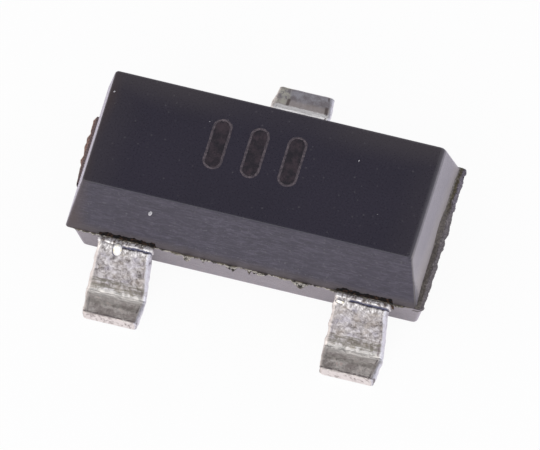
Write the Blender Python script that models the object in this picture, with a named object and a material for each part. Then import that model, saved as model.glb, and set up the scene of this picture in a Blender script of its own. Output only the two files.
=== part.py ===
# Small-signal transistor in a three-lead surface-mount package.
# Two epoxy mould halves meet at the top of a stamped leadframe. The leads bend down to the board,
# two at the front (-Y) and one at the rear (+Y). Inside, the chip is glued to the rear lead's pad
# and two bond wires run from its top to the posts of the front leads.
# Lengths are in metres. The board is at Z = 0, and the package is centred on its leads.

import random
from math import cos, pi, radians, sin, sqrt, tan

import bmesh
import bpy
import numpy as np
from mathutils import Vector

# Leads, as stamped and formed
LEAD_PITCH = 0.0019            # between the centres of the two front leads
LEAD_WIDTH = 0.00042
LEAD_THICKNESS = 0.00011
LEAD_SHOULDER = 0.000012       # straight length outside the body before the first bend
BEND_ANGLE = radians(60)
SHOULDER_RADIUS = 0.000025     # inner radius of the bend next to the body
HEEL_RADIUS = 0.00005          # inner radius of the bend above the foot
HEEL_BULGE = 0.000015          # the metal squeezed out on each side at the heel
FOOT_LENGTH = 0.000192         # flat length from the heel bend to the tip, which makes the span 2.31 mm
LEAD_EDGE_RADIUS = 0.000016    # rounding along the plated strip
TIP_CORNER = 0.00001           # rounding of the tip's corners, seen from above
SEAM_CLEARANCE = 0.000003      # between the epoxy and what it holds, and between stacked pieces
WELD_DISTANCE = 0.0000006      # edges of the hollowed epoxy that are shorter than this are closed up

# Leads inside the body, from the face of the body inwards
NOTCH_COVER = 0.00007          # epoxy between the face of the body and the notch
NOTCH_LENGTH = 0.00009         # notches on both sides lock each lead in the epoxy
NOTCH_DEPTH = 0.00006
POST_NECK = 0.00014            # from the notch to where a front lead widens
POST_HEAD = 0.00033            # length of the wide head that takes the bond wire
POST_EAR = 0.00004             # how far the head stands out past the lead's outer side
PAD_NECK = 0.000075            # from the notch to where the rear lead widens into the die pad
PAD_LENGTH = 0.00058
PAD_WIDTH = 0.00072
PAD_GAP = 0.00016              # between the die pad and each post

# Epoxy body
END_WALL = 0.000245            # beyond the outer side of a front lead
BODY_WIDTH = 0.00129
UPPER_HEIGHT = 0.000545        # above the parting line
LOWER_HEIGHT = 0.000385        # below the parting line
STANDOFF = 0.00007             # under the body
UPPER_SHIFT = -0.000035        # the upper half's centre lies this far to the right of the leads'
LOWER_SHIFT = 0.00002          # the same for the lower half, so that the halves miss each other
UPPER_SIDE_DRAFT = radians(15)
UPPER_LEFT_DRAFT = radians(10.5)
UPPER_RIGHT_DRAFT = radians(6.8)
LOWER_SIDE_DRAFT = radians(11.7)
LOWER_LEFT_DRAFT = radians(8)
LOWER_RIGHT_DRAFT = radians(11)
UPPER_CORNER_RADIUS = 0.000026
LOWER_CORNER_RADIUS = 0.000035
TOP_EDGE_RADIUS = 0.000018
TOP_RIGHT_EDGE_RADIUS = 0.00005  # the right end's top edge is rounder than the others
BOTTOM_EDGE_RADIUS = 0.00003
EJECTOR_RADIUS = 0.0002        # round mark that the ejector pin leaves underneath
EJECTOR_DEPTH = 0.000012

# Broken gate at each end of the body
STUB_LENGTH = 0.0006           # along the left end
STUB_OFFSET = 0.00004          # its centre behind the middle of the body
STUB_REACH = 0.00003           # out from the edge of the upper half
STUB_CHIP_LENGTH = 0.00018     # along the front end of the stub, where it broke off shorter
STUB_CHIP_REACH = 0.000012
STUB_BEVEL = 0.0000075         # its underside stands this much less far out
STUB_DEPTH = 0.00007           # below the parting line
STUB_RISE = 0.00001            # above the parting line
LEDGE_FRONT_MARGIN = 0.00004   # between the right ledge's front end and the body's corner
LEDGE_BACK_MARGIN = 0.000075   # the same at its back end
LEDGE_FLAT = 0.00004           # width of the flat top before the broken face falls away
LEDGE_RISE = 0.00004
LEDGE_LIP = 0.000005           # height of the broken face's lower edge over the parting line
LEDGE_DEPTH = 0.00008
LEDGE_FRONT_TAPER = 0.00016    # the ledge dies away over this length at its front end
LEDGE_BACK_TAPER = 0.00006
LEDGE_END_INSET = 0.00001      # what is left of it at its ends: inside the lower half's edge,
LEDGE_END_FLAT = 0.000016      # this wide on top
LEDGE_END_RISE = 0.000006      # and this high
BREAK_ROUGHNESS = 0.000008     # how far the broken faces wander
BREAK_STEP = 0.00004           # from one facet of a broken face to the next

# Chip, glue and bond wires
CHIP_SIDE = 0.00034
CHIP_THICKNESS = 0.00012
CHIP_PAD_SIDE = 0.00009
CHIP_PAD_THICKNESS = 0.000004
CHIP_PAD_SPREAD = 0.00009      # from the chip's centre to each bond pad, along X
CHIP_PAD_STAGGER = 0.00005     # the base pad is this far in front of the centre, the emitter's behind
GLUE_THICKNESS = 0.000015
GLUE_FILLET = 0.00003          # how far the glue spreads past the chip at its foot
WIRE_RADIUS = 0.0000125
BALL_RADIUS = 0.000035
BALL_HEIGHT = 0.00002
BALL_PROFILE = ((0.0, 0.6), (0.15, 0.93), (0.45, 1.0), (0.8, 0.86))  # shares of its height and radius
STITCH_LENGTH = 0.00004
STITCH_THICKNESS = 0.000008
STITCH_SPREAD = 1.6            # the stitch is this many times as wide as the wire
LOOP_HEIGHT = 0.00014          # top of the wire above its ball

# Smoothness of curved surfaces
CORNER_STEPS = 4
EDGE_STEPS = 3
TIP_STEPS = 2
BEND_STEPS = 7
EJECTOR_STEPS = 24
WIRE_SIDES = 10
WIRE_STEPS = 18

# Places that follow from the sizes above
PARTING_Z = STANDOFF + LOWER_HEIGHT
LEAD_MID_Z = PARTING_Z - LEAD_THICKNESS / 2
FOOT_MID_Z = LEAD_THICKNESS / 2
GLUE_BOTTOM_Z = PARTING_Z + SEAM_CLEARANCE
CHIP_BOTTOM_Z = GLUE_BOTTOM_Z + GLUE_THICKNESS + SEAM_CLEARANCE
CHIP_TOP_Z = CHIP_BOTTOM_Z + CHIP_THICKNESS
BALL_BOTTOM_Z = CHIP_TOP_Z + CHIP_PAD_THICKNESS + SEAM_CLEARANCE
BODY_LENGTH = LEAD_PITCH + LEAD_WIDTH + 2 * END_WALL
NOTCH_BEVEL = NOTCH_DEPTH / 2
NECK_Y = BODY_WIDTH / 2 - NOTCH_COVER - NOTCH_LENGTH - NOTCH_BEVEL   # inner end of a lead's notches
HEAD_Y = NECK_Y - POST_NECK - POST_EAR                               # where a post's head starts
PAD_Y = NECK_Y - PAD_NECK - POST_EAR - PAD_LENGTH / 2                # the middle of the die pad
POST_SIDE = PAD_WIDTH / 2 + PAD_GAP                                  # a post's side next to the die pad


def clear_scene():
    for item in list(bpy.data.objects):
        bpy.data.objects.remove(item)


def make_material(name, colour, roughness, metallic):
    finish = bpy.data.materials.new(name)
    finish.use_nodes = True
    shader = finish.node_tree.nodes["Principled BSDF"]
    shader.inputs["Base Color"].default_value = (*colour, 1.0)
    shader.inputs["Roughness"].default_value = roughness
    shader.inputs["Metallic"].default_value = metallic
    return finish


def make_object(name, bm, finish=None):
    bmesh.ops.recalc_face_normals(bm, faces=bm.faces)
    mesh = bpy.data.meshes.new(name)
    bm.to_mesh(mesh)
    bm.free()
    thing = bpy.data.objects.new(name, mesh)
    bpy.context.collection.objects.link(thing)
    if finish:
        mesh.materials.append(finish)
    return thing


def shade(thing, angle=radians(32)):
    thing.data.shade_smooth()
    thing.data.set_sharp_from_angle(angle=angle)


# A closed skin through a row of rings that all have the same number of points
def loft(rings):
    bm = bmesh.new()
    rows = [[bm.verts.new(point) for point in ring] for ring in rings]
    count = len(rows[0])
    for low, high in zip(rows, rows[1:]):
        for i in range(count):
            j = (i + 1) % count
            bm.faces.new((low[i], low[j], high[j], high[i]))
    bm.faces.new(reversed(rows[0]))
    bm.faces.new(rows[-1])
    return bm


def box(low, high):
    x0, y0, z0 = low
    x1, y1, z1 = high
    return loft([[(x0, y0, z), (x1, y0, z), (x1, y1, z), (x0, y1, z)] for z in (z0, z1)])


# Outline of a rectangle with rounded corners, anticlockwise from above
def rounded_rectangle(x0, x1, y0, y1, radius, steps=CORNER_STEPS):
    radius = min(radius, (x1 - x0) / 2.01, (y1 - y0) / 2.01)
    centres = ((x1 - radius, y0 + radius), (x1 - radius, y1 - radius),
               (x0 + radius, y1 - radius), (x0 + radius, y0 + radius))
    points = []
    for quarter, (cx, cy) in enumerate(centres):
        for step in range(steps + 1):
            angle = (quarter - 1 + step / steps) * pi / 2
            points.append((cx + radius * cos(angle), cy + radius * sin(angle)))
    return points


# How far a drafted wall has moved in at a given rise, with a fillet where it meets the flat face
def wall_inset(rise, height, draft, radius):
    centre = height - radius
    if rise <= centre + radius * sin(draft):
        return rise * tan(draft)
    return centre * tan(draft) + radius / cos(draft) - sqrt(max(0.0, radius ** 2 - (rise - centre) ** 2))


# One half of the moulding, from the parting line up (direction 1) or down (direction -1). The drafts and
# the radii of the fillets are those of the left end, the right end and the two sides.
def mould_half(name, shift, direction, height, drafts, corner_radius, edge_radii):
    steepest = min(drafts)
    edge_angles = [steepest + (pi / 2 - steepest) * step / EDGE_STEPS for step in range(EDGE_STEPS + 1)]
    rises = sorted({round(height - radius * (1 - sin(angle)), 9) for radius in edge_radii
                    for angle in edge_angles})
    rings = []
    for rise in [0.0] + rises:
        insets = [wall_inset(rise, height, draft, radius) for draft, radius in zip(drafts, edge_radii)]
        outline = rounded_rectangle(shift - BODY_LENGTH / 2 + insets[0], shift + BODY_LENGTH / 2 - insets[1],
                                    -BODY_WIDTH / 2 + insets[2], BODY_WIDTH / 2 - insets[2], corner_radius)
        rings.append([(x, y, PARTING_Z + direction * rise) for x, y in outline])
    return make_object(name, loft(rings))


# Distances that wander in and out, for the faces where the gate broke off
def broken_face(count, seed):
    chance = random.Random(seed)
    return [chance.uniform(-1.0, 1.0) * BREAK_ROUGHNESS for _ in range(count)]


def mix(low, high, share):
    return low + (high - low) * share


# What is left of the gate at the left end: a thin tongue under the edge of the upper half
def gate_stub(name):
    edge = UPPER_SHIFT - BODY_LENGTH / 2
    root = LOWER_SHIFT - BODY_LENGTH / 2 + STUB_DEPTH
    bottom, middle, top = PARTING_Z - STUB_DEPTH, PARTING_Z - STUB_DEPTH / 2, PARTING_Z + STUB_RISE
    steps = max(4, round(STUB_LENGTH / BREAK_STEP))
    wander = broken_face(steps + 1, 5)
    brow = broken_face(steps + 1, 6)
    rings = []
    for step in range(steps + 1):
        along = STUB_LENGTH * step / steps
        chipped = along < STUB_CHIP_LENGTH or step == steps
        tip = edge - (STUB_CHIP_REACH if chipped else STUB_REACH) - wander[step]
        y = STUB_OFFSET - STUB_LENGTH / 2 + along
        rings.append([(root, y, bottom), (tip + STUB_BEVEL, y, bottom), (tip, y, middle),
                      (tip + brow[step] / 2, y, top), (root, y, top)])
    return make_object(name, loft(rings))


# The ledge along the right end, where the lower half stands out and the gate left a broken face
def gate_ledge(name):
    upper_edge = UPPER_SHIFT + BODY_LENGTH / 2
    lower_edge = LOWER_SHIFT + BODY_LENGTH / 2
    root = upper_edge - LEDGE_DEPTH
    bottom = PARTING_Z - LEDGE_DEPTH
    front = -BODY_WIDTH / 2 + LEDGE_FRONT_MARGIN
    length = BODY_WIDTH / 2 - LEDGE_BACK_MARGIN - front
    steps = max(6, round(length / BREAK_STEP))
    wander = broken_face(steps + 1, 11)
    brow = broken_face(steps + 1, 12)
    rings = []
    for step in range(steps + 1):
        along = length * step / steps
        full = min(1.0, along / LEDGE_FRONT_TAPER, (length - along) / LEDGE_BACK_TAPER)
        top = PARTING_Z + mix(LEDGE_END_RISE, LEDGE_RISE, full)
        tip = lower_edge + mix(-LEDGE_END_INSET, wander[step], full)
        crest = upper_edge + mix(LEDGE_END_FLAT, LEDGE_FLAT + brow[step], full)
        y = front + along
        rings.append([(root, y, bottom), (lower_edge - LEDGE_DEPTH / 2, y, bottom),
                      (tip, y, PARTING_Z - LEDGE_DEPTH / 4), (tip, y, PARTING_Z + mix(0.0, LEDGE_LIP, full)),
                      (crest, y, top), (root, y, top)])
    return make_object(name, loft(rings))


# Stations on the middle line of a formed lead: distance out, height, tilt and how far the metal bulges.
# The second result is the distance out to the lead's tip.
def lead_line():
    shoulder = SHOULDER_RADIUS + LEAD_THICKNESS / 2
    heel = HEEL_RADIUS + LEAD_THICKNESS / 2
    drop = LEAD_MID_Z - FOOT_MID_Z
    slope = (drop - (shoulder + heel) * (1 - cos(BEND_ANGLE))) / sin(BEND_ANGLE)
    out, height = BODY_WIDTH / 2 + LEAD_SHOULDER, LEAD_MID_Z
    points = [(out, height, 0.0, 0.0)]
    for step in range(1, BEND_STEPS + 1):
        tilt = BEND_ANGLE * step / BEND_STEPS
        points.append((out + shoulder * sin(tilt), height - shoulder * (1 - cos(tilt)), tilt, 0.0))
    out, height, tilt, _ = points[-1]
    points.append((out + slope * cos(tilt) / 2, height - slope * sin(tilt) / 2, tilt, HEEL_BULGE * 0.4))
    out, height = out + slope * cos(tilt), height - slope * sin(tilt)
    centre = (out + heel * sin(BEND_ANGLE), height + heel * cos(BEND_ANGLE))
    for step in range(BEND_STEPS + 1):
        share = step / BEND_STEPS
        tilt = BEND_ANGLE * (1 - share)
        bulge = HEEL_BULGE * mix(0.8, 1.0, share)
        points.append((centre[0] - heel * sin(tilt), centre[1] - heel * cos(tilt), tilt, bulge))
    for share, bulge_left in ((0.3, 0.8), (0.6, 0.3)):
        points.append((centre[0] + FOOT_LENGTH * share, FOOT_MID_Z, 0.0, HEEL_BULGE * bulge_left))
    return points, centre[0] + FOOT_LENGTH


# Section across a lead at one station, with its long edges rounded
def lead_ring(x0, x1, out, height, tilt, side):
    half = LEAD_THICKNESS / 2
    ring = []
    for x, n in rounded_rectangle(x0, x1, -half, half, LEAD_EDGE_RADIUS, 3):
        ring.append((x, side * (out + n * sin(tilt)), height + n * cos(tilt)))
    return ring


# A formed lead: inner sections given as (distance out, low x, high x), then the bends, foot and tip
def make_lead(name, centre, side, inner, finish):
    rings = [lead_ring(x0, x1, out, LEAD_MID_Z, 0.0, side) for out, x0, x1 in inner]
    low, high = centre - LEAD_WIDTH / 2, centre + LEAD_WIDTH / 2
    stations, tip = lead_line()
    for out, height, tilt, bulge in stations:
        rings.append(lead_ring(low - bulge, high + bulge, out, height, tilt, side))
    for step in range(TIP_STEPS + 1):
        angle = pi / 2 * step / TIP_STEPS
        trim = TIP_CORNER * (1 - cos(angle))
        out = tip - TIP_CORNER * (1 - sin(angle))
        rings.append(lead_ring(low + trim, high - trim, out, FOOT_MID_Z, 0.0, side))
    lead = make_object(name, loft(rings), finish)
    shade(lead)
    return lead


# Sections of a lead's neck, with a notch on both sides just inside the face of the body
def neck_sections(centre):
    low, high = centre - LEAD_WIDTH / 2, centre + LEAD_WIDTH / 2
    inner = NECK_Y + NOTCH_BEVEL
    outer = inner + NOTCH_LENGTH
    return [(NECK_Y, low, high), (inner, low + NOTCH_DEPTH, high - NOTCH_DEPTH),
            (outer, low + NOTCH_DEPTH, high - NOTCH_DEPTH), (outer + NOTCH_BEVEL, low, high)]


# Front lead: its post ends in a head that reaches towards the die pad and has an ear outside
def make_front_lead(name, hand, finish):
    centre = hand * LEAD_PITCH / 2
    far = centre + hand * (LEAD_WIDTH / 2 + POST_EAR)
    low, high = sorted((hand * POST_SIDE, far))
    narrow = (centre - LEAD_WIDTH / 2, centre + LEAD_WIDTH / 2)
    inner = [(HEAD_Y - POST_HEAD, low, high), (HEAD_Y, low, high), (HEAD_Y + POST_EAR, *narrow)]
    return make_lead(name, centre, -1, inner + neck_sections(centre), finish)


# Rear lead: one piece with the pad that carries the chip
def make_rear_lead(name, finish):
    half = PAD_WIDTH / 2
    start, end = PAD_Y - PAD_LENGTH / 2, PAD_Y + PAD_LENGTH / 2
    inner = [(start, -half, half), (end, -half, half), (end + POST_EAR, -LEAD_WIDTH / 2, LEAD_WIDTH / 2)]
    return make_lead(name, 0.0, 1, inner + neck_sections(0.0), finish)


def pad_centre(hand):
    return hand * CHIP_PAD_SPREAD, PAD_Y + hand * CHIP_PAD_STAGGER


def square_block(x, y, side, z0, z1):
    half = side / 2
    return box((x - half, y - half, z0), (x + half, y + half, z1))


def make_chip(name, finish):
    chip = make_object(name, square_block(0.0, PAD_Y, CHIP_SIDE, CHIP_BOTTOM_Z, CHIP_TOP_Z), finish)
    for hand in (-1, 1):
        x, y = pad_centre(hand)
        low, high = CHIP_TOP_Z - CHIP_PAD_THICKNESS, CHIP_TOP_Z + CHIP_PAD_THICKNESS
        combine(chip, make_object(name + "_pad", square_block(x, y, CHIP_PAD_SIDE, low, high)), "UNION")
    return chip


def make_glue(name, finish):
    rings = []
    for spread, z in ((GLUE_FILLET, GLUE_BOTTOM_Z), (GLUE_FILLET / 3, GLUE_BOTTOM_Z + GLUE_THICKNESS)):
        half = CHIP_SIDE / 2 + spread
        outline = rounded_rectangle(-half, half, PAD_Y - half, PAD_Y + half, GLUE_FILLET)
        rings.append([(x, y, z) for x, y in outline])
    glue = make_object(name, loft(rings), finish)
    shade(glue)
    return glue


def bezier(a, b, c, d, t):
    s = 1 - t
    return a * s ** 3 + b * 3 * s * s * t + c * 3 * s * t * t + d * t ** 3


# Bond wire from the ball on the chip, over its loop, down to the flattened stitch on the post
def make_wire(name, hand, finish):
    x, y = pad_centre(hand)
    stitch_x = hand * (POST_SIDE + POST_HEAD / 3)
    stitch_y = POST_HEAD / 2 - HEAD_Y
    start = Vector((x, y, BALL_BOTTOM_Z))
    along = Vector((stitch_x - x, stitch_y - y, 0.0))
    span = along.length
    along.normalize()
    across = Vector((-along.y, along.x, 0.0))
    up = Vector((0.0, 0.0, 1.0))

    def ring(centre, normal, wide, thick):
        turns = [2 * pi * side / WIRE_SIDES for side in range(WIRE_SIDES)]
        return [centre + across * wide * cos(turn) + normal * thick * sin(turn) for turn in turns]

    rings = []
    for share, radius in BALL_PROFILE:
        wide = radius * BALL_RADIUS
        rings.append(ring(start + up * BALL_HEIGHT * share, along, wide, wide))
    # The curve's two middle points pull it up to the loop's height, straight over the ball first
    rise = LOOP_HEIGHT - WIRE_RADIUS
    landing = PARTING_Z + SEAM_CLEARANCE + STITCH_THICKNESS / 2 - BALL_BOTTOM_Z
    knots = [Vector((0.0, BALL_HEIGHT * 1.1)), Vector((0.0, rise * 1.35)),
             Vector((span * 0.45, rise * 1.3)), Vector((span - STITCH_LENGTH, landing))]
    for step in range(WIRE_STEPS + 1):
        t = step / WIRE_STEPS
        flat = bezier(*knots, t)
        ahead = bezier(*knots, min(1.0, t + 0.01)) - bezier(*knots, max(0.0, t - 0.01))
        normal = (up * ahead.x - along * ahead.y).normalized()
        squash = max(0.0, (t - 0.9) / 0.1)
        wide = WIRE_RADIUS * mix(1.0, STITCH_SPREAD, squash)
        thick = mix(WIRE_RADIUS, STITCH_THICKNESS / 2, squash)
        rings.append(ring(start + along * flat.x + up * flat.y, -normal, wide, thick))
    end = start + along * span + up * landing
    rings.append(ring(end, -up, WIRE_RADIUS * 1.3, STITCH_THICKNESS / 2))
    wire = make_object(name, loft(rings), finish)
    shade(wire, radians(50))
    return wire


# A copy of a piece whose faces all stand out by the same clearance, used to hollow the epoxy round it
def clearance_copy(thing, clearance):
    bm = bmesh.new()
    bm.from_mesh(thing.data)
    moves = []
    for vert in bm.verts:
        normals = np.array([face.normal[:] for face in vert.link_faces])
        move, *_ = np.linalg.lstsq(normals, np.full(len(normals), clearance), rcond=0.05)
        moves.append(Vector(move))
    for vert, move in zip(bm.verts, moves):
        vert.co += move
    return make_object(thing.name + "_pocket", bm)


# Boolean with a second piece, which is removed afterwards
def combine(thing, other, operation):
    other.hide_render = True
    other.display_type = "WIRE"
    modifier = thing.modifiers.new(operation.lower(), "BOOLEAN")
    modifier.operation = operation
    modifier.solver = "EXACT"
    modifier.object = other
    evaluated = thing.evaluated_get(bpy.context.evaluated_depsgraph_get())
    result = bpy.data.meshes.new_from_object(evaluated)
    thing.modifiers.remove(modifier)
    thing.data = result
    bpy.data.objects.remove(other)


# Closes the hair-thin edges that are left where two pockets graze each other
def weld(thing):
    bm = bmesh.new()
    bm.from_mesh(thing.data)
    bmesh.ops.remove_doubles(bm, verts=bm.verts, dist=WELD_DISTANCE)
    bm.to_mesh(thing.data)
    bm.free()


# Round mark that the ejector pin leaves in the underside
def ejector_mark(name):
    turns = [2 * pi * step / EJECTOR_STEPS for step in range(EJECTOR_STEPS)]
    circle = [(EJECTOR_RADIUS * cos(turn), EJECTOR_RADIUS * sin(turn)) for turn in turns]
    heights = (STANDOFF - EJECTOR_DEPTH, STANDOFF + EJECTOR_DEPTH)
    return make_object(name, loft([[(x, y, z) for x, y in circle] for z in heights]))


def make_body(name, held, finish):
    upper_drafts = (UPPER_LEFT_DRAFT, UPPER_RIGHT_DRAFT, UPPER_SIDE_DRAFT)
    lower_drafts = (LOWER_LEFT_DRAFT, LOWER_RIGHT_DRAFT, LOWER_SIDE_DRAFT)
    body = mould_half(name, UPPER_SHIFT, 1, UPPER_HEIGHT, upper_drafts, UPPER_CORNER_RADIUS,
                      (TOP_EDGE_RADIUS, TOP_RIGHT_EDGE_RADIUS, TOP_EDGE_RADIUS))
    combine(body, mould_half("lower_half", LOWER_SHIFT, -1, LOWER_HEIGHT, lower_drafts,
                             LOWER_CORNER_RADIUS, (BOTTOM_EDGE_RADIUS,) * 3), "UNION")
    combine(body, gate_stub("gate_stub"), "UNION")
    combine(body, gate_ledge("gate_ledge"), "UNION")
    combine(body, ejector_mark("ejector_mark"), "DIFFERENCE")
    for thing in held:
        combine(body, clearance_copy(thing, SEAM_CLEARANCE), "DIFFERENCE")
    weld(body)
    body.data.materials.clear()
    body.data.materials.append(finish)
    shade(body, radians(20))
    return body


def main():
    clear_scene()
    epoxy = make_material("black_epoxy", (0.035, 0.032, 0.042), 0.5, 0.0)
    tin = make_material("matte_tin", (0.56, 0.54, 0.52), 0.42, 1.0)
    silicon = make_material("silicon", (0.12, 0.13, 0.16), 0.2, 0.3)
    glue = make_material("silver_glue", (0.6, 0.6, 0.58), 0.5, 0.6)
    gold = make_material("gold_wire", (0.95, 0.72, 0.3), 0.25, 1.0)
    held = [
        make_front_lead("base_lead", -1, tin),
        make_front_lead("emitter_lead", 1, tin),
        make_rear_lead("collector_lead", tin),
        make_glue("die_attach", glue),
        make_chip("silicon_chip", silicon),
        make_wire("base_bond_wire", -1, gold),
        make_wire("emitter_bond_wire", 1, gold),
    ]
    make_body("mould_body", held, epoxy)


main()
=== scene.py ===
import math

import bmesh
import bpy
from mathutils import Matrix, Vector


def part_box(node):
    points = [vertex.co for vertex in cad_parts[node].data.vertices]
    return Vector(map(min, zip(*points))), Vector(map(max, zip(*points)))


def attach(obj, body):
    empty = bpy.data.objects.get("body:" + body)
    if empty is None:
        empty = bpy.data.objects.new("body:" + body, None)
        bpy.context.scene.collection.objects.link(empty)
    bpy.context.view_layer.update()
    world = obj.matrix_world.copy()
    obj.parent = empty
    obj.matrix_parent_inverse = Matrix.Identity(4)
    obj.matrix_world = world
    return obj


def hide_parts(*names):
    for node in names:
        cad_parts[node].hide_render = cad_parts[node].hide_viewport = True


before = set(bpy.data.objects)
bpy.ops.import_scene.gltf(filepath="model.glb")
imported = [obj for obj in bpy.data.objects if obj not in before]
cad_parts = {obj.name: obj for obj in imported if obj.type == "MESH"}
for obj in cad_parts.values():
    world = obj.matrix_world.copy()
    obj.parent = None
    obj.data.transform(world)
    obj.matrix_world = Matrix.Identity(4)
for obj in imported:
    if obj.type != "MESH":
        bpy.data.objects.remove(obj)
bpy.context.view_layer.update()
mm = 0.001               # pieces are modelled in millimetres and brought to metres at the end

scene = bpy.context.scene
scene.view_settings.view_transform = "Standard"

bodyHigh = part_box("mould_body")[1] / mm
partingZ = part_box("base_lead")[1].z / mm      # the leads' tops lie level with the parting line
faceY = bodyHigh.y                            # the front and rear faces, at the parting line
topZ = bodyHigh.z
leadSides = {"base_lead": -1, "emitter_lead": -1, "collector_lead": 1}    # -1 is the front, 1 the rear
footLength = 0.08        # of each lead's end, well inside its flat foot


# Small helpers for node trees, for materials and for geometry alike. A value is a number or a socket, and
# the tree is the one that the sockets belong to.

# Sets or links a node's inputs. A node stands for its first output.
def connect(node, inputs):
    for key, value in inputs.items():
        value = value.outputs[0] if isinstance(value, bpy.types.Node) else value
        if isinstance(value, bpy.types.NodeSocket):
            node.id_data.links.new(value, node.inputs[key])
        else:
            isColour = node.inputs[key].type == "RGBA"
            node.inputs[key].default_value = (*value, 1.0) if isColour else value


def addNode(tree, kind, inputs=None, **settings):
    node = tree.nodes.new(kind)
    for key, value in settings.items():
        setattr(node, key, value)
    connect(node, inputs or {})
    return node


def join(kind, inputs, output=0, **settings):
    tree = next(value.id_data for value in inputs.values() if isinstance(value, bpy.types.NodeSocket))
    return addNode(tree, kind, inputs, **settings).outputs[output]


# One operation on any number of values, from the left
def calc(operation, first, *others):
    for other in others or (0.0,):
        first = join("ShaderNodeMath", {0: first, 1: other}, operation=operation)
    return first


def times(*values):
    return calc("MULTIPLY", *values)


def plus(*values):
    return calc("ADD", *values)


def minus(*values):
    return calc("SUBTRACT", *values)


# A value that a noise moves to and fro, by at most half of the amount either way
def wander(value, noise, amount):
    return plus(value, times(minus(noise, 0.5), amount))


# Smooth step of a value from one limit to the other
def ease(value, low, high, start=0.0, end=1.0):
    ends = {"Value": value, "From Min": low, "From Max": high, "To Min": start, "To Max": end}
    return join("ShaderNodeMapRange", ends, interpolation_type="SMOOTHSTEP")


def fall(value, low, high, start=1.0):
    return ease(value, low, high, start, 0.0)


# 1 round a centre, falling off softly on both sides
def band(value, centre, half, soft):
    return fall(calc("ABSOLUTE", minus(value, centre)), half, half + soft)


def blend(share, first, second):
    return join("ShaderNodeMix", {0: share, 6: first, 7: second}, 2, data_type="RGBA")


# Lays tones over a colour, one after another. Each layer is a tone, or its name in the look, and its share.
def painted(colour, look, layers):
    for over, share in layers:
        colour = blend(share, colour, look[over] if isinstance(over, str) else over)
    return colour


def noiseAt(where, scale, detail=3.0, rough=0.55, distortion=0.0):
    settings = {"Vector": where, "Scale": scale, "Detail": detail, "Roughness": rough,
                "Distortion": distortion}
    return join("ShaderNodeTexNoise", settings)


def stretched(where, scales, shift=(0.0, 0.0, 0.0)):
    return join("ShaderNodeVectorMath", {0: where, 1: scales, 2: shift}, operation="MULTIPLY_ADD")


def parts(vector):
    return addNode(vector.id_data, "ShaderNodeSeparateXYZ", {0: vector}).outputs


def joined(x, y=0.0, z=0.0):
    return join("ShaderNodeCombineXYZ", {0: x, 1: y, 2: z})


def stored(tree, label):
    return addNode(tree, "ShaderNodeAttribute", attribute_name=label).outputs["Fac"]


# A material with its place on the object in millimetres, and its shader
def startMaterial(name):
    material = bpy.data.materials.new(name)
    material.use_nodes = True
    tree = material.node_tree
    where = stretched(addNode(tree, "ShaderNodeTexCoord").outputs["Object"], (1 / mm, 1 / mm, 1 / mm))
    return material, where, tree.nodes["Principled BSDF"]


# Height given in millimetres, turned into bump
def addBump(shader, height):
    bump = join("ShaderNodeBump", {"Strength": 1.0, "Distance": mm, "Height": height})
    connect(shader, {"Normal": bump})


def feed(shader, **sockets):
    connect(shader, {key.replace("_", " "): value for key, value in sockets.items()})


# Geometry trees: named inputs, then whatever the caller adds, then realised and painted

def startTree(name, sizes):
    tree = bpy.data.node_groups.new(name, "GeometryNodeTree")
    tree.interface.new_socket("Geometry", in_out="INPUT", socket_type="NodeSocketGeometry")
    for label, start in sizes.items():
        kind = "NodeSocketInt" if isinstance(start, int) else "NodeSocketFloat"
        tree.interface.new_socket(label, in_out="INPUT", socket_type=kind).default_value = start
    tree.interface.new_socket("Finish", in_out="INPUT", socket_type="NodeSocketMaterial")
    tree.interface.new_socket("Geometry", in_out="OUTPUT", socket_type="NodeSocketGeometry")
    return tree, tree.nodes.new("NodeGroupInput").outputs


def endTree(tree, entry, shape):
    shape = addNode(tree, "GeometryNodeRealizeInstances", {"Geometry": shape})
    shape = addNode(tree, "GeometryNodeSetShadeSmooth", {"Geometry": shape})
    shape = addNode(tree, "GeometryNodeSetMaterial", {"Geometry": shape, "Material": entry["Finish"]})
    addNode(tree, "NodeGroupOutput", {0: shape})
    return tree


def named(tree, label, kind="FLOAT"):
    return addNode(tree, "GeometryNodeInputNamedAttribute", {"Name": label}, data_type=kind).outputs[0]


def scaled(vector, size):
    return join("ShaderNodeVectorMath", {0: vector, "Scale": size}, operation="SCALE")


# Positions of a piece's points, moved by its seed so that no two pieces get the same noise
def seededPlace(tree, entry):
    position = addNode(tree, "GeometryNodeInputPosition")
    shift = joined(entry["Seed"], entry["Seed"])
    return join("ShaderNodeVectorMath", {0: position, 1: shift}, operation="ADD")


def meshFrom(name, bm):
    mesh = bpy.data.meshes.new(name)
    bm.to_mesh(mesh)
    bm.free()
    return mesh


# Runs a geometry tree on a seed mesh and keeps the plain mesh that comes out, in metres
def grow(name, seedMesh, tree, slot, finish, **values):
    piece = bpy.data.objects.new(name, seedMesh)
    scene.collection.objects.link(piece)
    modifier = piece.modifiers.new(tree.name, "NODES")
    modifier.node_group = tree
    values["Finish"] = finish
    for item in tree.interface.items_tree:
        if item.in_out == "INPUT" and item.name in values:
            modifier[item.identifier] = values[item.name]
    graph = bpy.context.evaluated_depsgraph_get()
    mesh = bpy.data.meshes.new_from_object(piece.evaluated_get(graph))
    piece.modifiers.clear()
    mesh.transform(Matrix.Scale(mm, 4))
    piece.data = mesh
    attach(piece, "root")
    return piece


# Camera

cameraView = {
    "azimuth": 16.754,             # degrees, as the elevation and the roll
    "elevation": 61.769,
    "roll": 1.505,
    "pixelsPerMm": 129.39,
    "imageSize": (540, 450),
    "middlePixel": (266.9, 197.8),   # where the middle of the parting plane lies in the image
    "distance": 12.0,
}


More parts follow.
